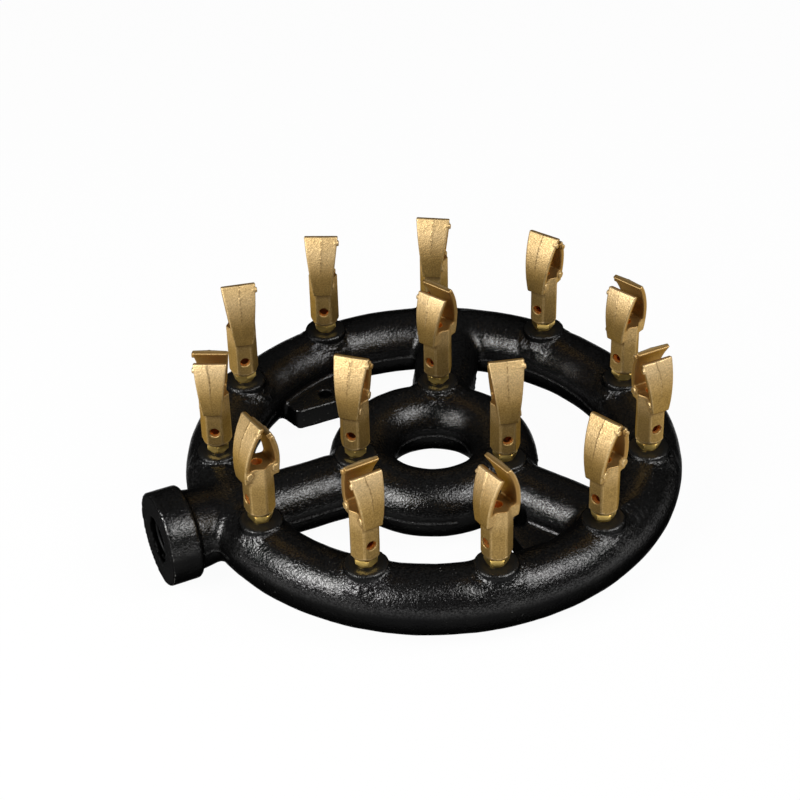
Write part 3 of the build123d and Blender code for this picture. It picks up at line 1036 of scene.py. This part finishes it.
def orificeMesh():
    s = orifice
    n = s["sides"]
    half = s["flats"] / 2
    angles = np.arange(n) * 2 * math.pi / n
    hexagon = half / np.cos((angles + degrees(30)) % degrees(60) - degrees(30))
    rows = []
    for radius, z in orificeProfile(half / math.cos(degrees(30))):
        r = np.minimum(radius, hexagon)
        rows.append(np.column_stack((r * np.cos(angles), r * np.sin(angles), np.full(n, z))))
    verts = np.vstack(rows)
    faces = []
    for row in range(len(rows) - 1):
        for i in range(n):
            j = (i + 1) % n
            faces.append((row * n + i, row * n + j, row * n + n + j, row * n + n + i))
    faces.append(tuple(reversed(range(n))))
    faces.append(tuple(range((len(rows) - 1) * n, len(rows) * n)))
    hollow = verts[:, 2] > s["hexTop"][1] + s["hollowFrom"]
    mesh = makeMesh("orifice_pattern", verts, faces, {"hollow": hollow})
    mesh.set_sharp_from_angle(angle=degrees(s["sharp"]))
    return mesh


def orificeTree():
    tree, keys, given, made = newTree("orificeRow", (
        ("Pattern", "NodeSocketObject"),
        ("Seed", "NodeSocketInt"),
        ("Finish", "NodeSocketMaterial"),
    ))
    shape = addNode(tree, "GeometryNodeObjectInfo", {"Object": given["Pattern"]}).outputs["Geometry"]
    spin = addNode(tree, "FunctionNodeRandomValue", {
        2: 0.0, 3: 2 * math.pi, "Seed": given["Seed"],  # inputs 2 and 3 are the least and most of a float
    }).outputs[1]
    turn = addNode(tree, "ShaderNodeCombineXYZ", {"Z": spin}).outputs[0]
    stood = addNode(tree, "GeometryNodeInstanceOnPoints", {
        "Points": given["Geometry"], "Instance": shape, "Rotation": turn,
    }).outputs[0]
    endTree(tree, stood, given["Finish"], made)
    return tree, keys


def screwOrifices():
    pattern = bpy.data.objects.new("orifice_pattern", orificeMesh())
    bpy.context.scene.collection.objects.link(pattern)
    spots = bpy.data.meshes.new("jet_spots")
    spots.from_pydata([tuple(j["place"] * mm) for j in jets], [], [])
    tree, keys = orificeTree()
    values = {"Pattern": pattern, "Seed": orifice["seed"], "Finish": turnedBrass}
    mesh = runTree("jet_orifices", spots, tree, keys, values)
    bpy.data.objects.remove(pattern)
    addPiece("jet_orifices", mesh, turnedBrass, castBody, [j["orifice"] for j in jets])
    print("orifices screwed in:", len(jets))


screwOrifices()

# Thread ridges in the inlet
inletThread = {
    "radius": 10.3,
    "pitch": 1.814,
    "turns": 9.0,
    "ridge": 0.95,
    "start": 2.2,  # from the inlet's mouth
    "steps": 64,  # in a turn
    "sides": 6,  # of a ridge
}


def threadTree():
    s = inletThread
    tree, keys, given, made = newTree("inletThread", (
        ("Radius", "NodeSocketFloat"),
        ("Pitch", "NodeSocketFloat"),
        ("Turns", "NodeSocketFloat"),
        ("Ridge", "NodeSocketFloat"),
        ("Finish", "NodeSocketMaterial"),
    ))
    coil = addNode(tree, "GeometryNodeCurveSpiral", {
        "Resolution": s["steps"], "Rotations": given["Turns"], "Start Radius": given["Radius"],
        "End Radius": given["Radius"], "Height": maths(tree, "MULTIPLY", given["Pitch"], given["Turns"]),
    }).outputs[0]
    coil = addNode(tree, "GeometryNodeSetCurveNormal", {"Curve": coil}, mode="Z_UP").outputs[0]
    ridge = addNode(tree, "GeometryNodeCurvePrimitiveCircle", {
        "Resolution": s["sides"], "Radius": given["Ridge"],
    }).outputs[0]
    swept = addNode(tree, "GeometryNodeCurveToMesh", {
        "Curve": coil, "Profile Curve": ridge, "Fill Caps": True,
    }).outputs[0]
    turned = addNode(tree, "GeometryNodeTransform", {
        "Geometry": swept, "Rotation": (0, degrees(90), 0), "Translation": (s["start"] * mm, 0, 0),
    }).outputs[0]
    endTree(tree, turned, given["Finish"], made)
    return tree, keys


def cutThread():
    s = inletThread
    tree, keys = threadTree()
    mesh = runTree("inlet_thread", bpy.data.meshes.new("inlet_thread_start"), tree, keys, {
        "Radius": s["radius"] * mm,
        "Pitch": s["pitch"] * mm,
        "Turns": s["turns"],
        "Ridge": s["ridge"] * mm,
        "Finish": threadIron,
    })
    addPiece("inlet_thread", mesh, threadIron, castBody)
    print("thread cut:", len(mesh.polygons), "faces")


cutThread()

# Floor: the burner leans on its collar and on the far side of its ring
floor = {
    "collarFoot": 14.0,
    "ringFoot": 255.5,
    "ringDrop": -16.7,
    "gap": 0.05,
    "size": 6.0,  # metres
    "chalk": (0.82, 0.82, 0.82, 1),
    "white": 0.96,  # share of its own white, where the camera or these rays meet it
    "seenBy": ("Is Transmission Ray", "Is Glossy Ray"),
}


def paleFloor():
    s = floor
    finish = bpy.data.materials.new("pale_floor")
    finish.use_nodes = True
    tree = finish.node_tree
    tree.nodes.clear()
    out = tree.nodes.new("ShaderNodeOutputMaterial")
    chalk = addNode(tree, "ShaderNodeBsdfDiffuse", {"Color": s["chalk"]}).outputs[0]
    white = addNode(tree, "ShaderNodeEmission", {"Color": (1, 1, 1, 1), "Strength": 1.0}).outputs[0]
    rays = tree.nodes.new("ShaderNodeLightPath").outputs
    seen = rays["Is Camera Ray"]
    for kind in s["seenBy"]:
        seen = maths(tree, "MAXIMUM", seen, rays[kind])
    share = maths(tree, "MULTIPLY", seen, s["white"])
    both = addNode(tree, "ShaderNodeMixShader", {0: share, 1: chalk, 2: white})
    tree.links.new(both.outputs[0], out.inputs[0])
    return finish


def layFloor():
    s = floor
    collarDrop = cadLow.z / mm
    slope = (s["ringDrop"] - collarDrop) / (s["ringFoot"] - s["collarFoot"])
    level = (collarDrop - s["gap"] - slope * s["collarFoot"]) * mm  # at x = 0
    half = s["size"] / 2
    corners = ((-half, -half), (half, -half), (half, half), (-half, half))
    mesh = bpy.data.meshes.new("floor")
    mesh.from_pydata([(x, y, level + slope * x) for x, y in corners], [], [(0, 1, 2, 3)])
    mesh.materials.append(paleFloor())
    base = bpy.data.objects.new("floor", mesh)
    bpy.context.scene.collection.objects.link(base)


layFloor()

# Studio light
studio = {
    "aim": (0.1475, 0, 0.02),
    "glow": 0.05,  # from all round
    "lamps": (
        {"name": "left_box", "at": (-0.873, -0.255, 0.727), "size": (0.72, 0.58), "watts": 17.0},
        {"name": "right_box", "at": (0.613, -0.693, 0.990), "size": (0.90, 0.60), "watts": 11.2},
    ),
}


def hangLamps():
    for s in studio["lamps"]:
        lamp = bpy.data.lights.new(s["name"], "AREA")
        lamp.shape = "RECTANGLE"
        lamp.size, lamp.size_y = s["size"]
        lamp.energy = s["watts"]
        stand = bpy.data.objects.new(s["name"], lamp)
        stand.location = s["at"]
        stand.rotation_euler = (Vector(studio["aim"]) - Vector(s["at"])).to_track_quat("-Z", "Y").to_euler()
        bpy.context.scene.collection.objects.link(stand)
    world = bpy.data.worlds.new("studio")
    world.use_nodes = True
    glow = world.node_tree.nodes["Background"]
    glow.inputs["Color"].default_value = (1, 1, 1, 1)
    glow.inputs["Strength"].default_value = studio["glow"]
    bpy.context.scene.world = world


hangLamps()

# Camera where the photograph was taken from
camera = {
    "at": (-0.22005, -0.8050, 0.6770),
    "facing": 66.5,
    "down": 35.88,
    "roll": -1.54,
    "lens": 99.18,
    "sensor": 36.0,
    "clip": (0.01, 50),
}


def setCamera():
    s = camera
    lens = bpy.data.cameras.new("camera")
    lens.lens = s["lens"]
    lens.sensor_width = s["sensor"]
    lens.clip_start, lens.clip_end = s["clip"]
    stand = bpy.data.objects.new("camera", lens)
    bpy.context.scene.collection.objects.link(stand)
    a, d, r = degrees(s["facing"]), degrees(s["down"]), degrees(s["roll"])
    ahead = Vector((math.cos(a) * math.cos(d), math.sin(a) * math.cos(d), -math.sin(d)))
    right = ahead.cross(Vector((0, 0, 1))).normalized()
    up = right.cross(ahead)
    right, up = right * math.cos(r) + up * math.sin(r), up * math.cos(r) - right * math.sin(r)
    stand.matrix_world = Matrix.Translation(s["at"]) @ Matrix((right, up, -ahead)).transposed().to_4x4()
    bpy.context.scene.camera = stand


setCamera()
bpy.context.scene.view_settings.view_transform = "Standard"
print("light and camera set")
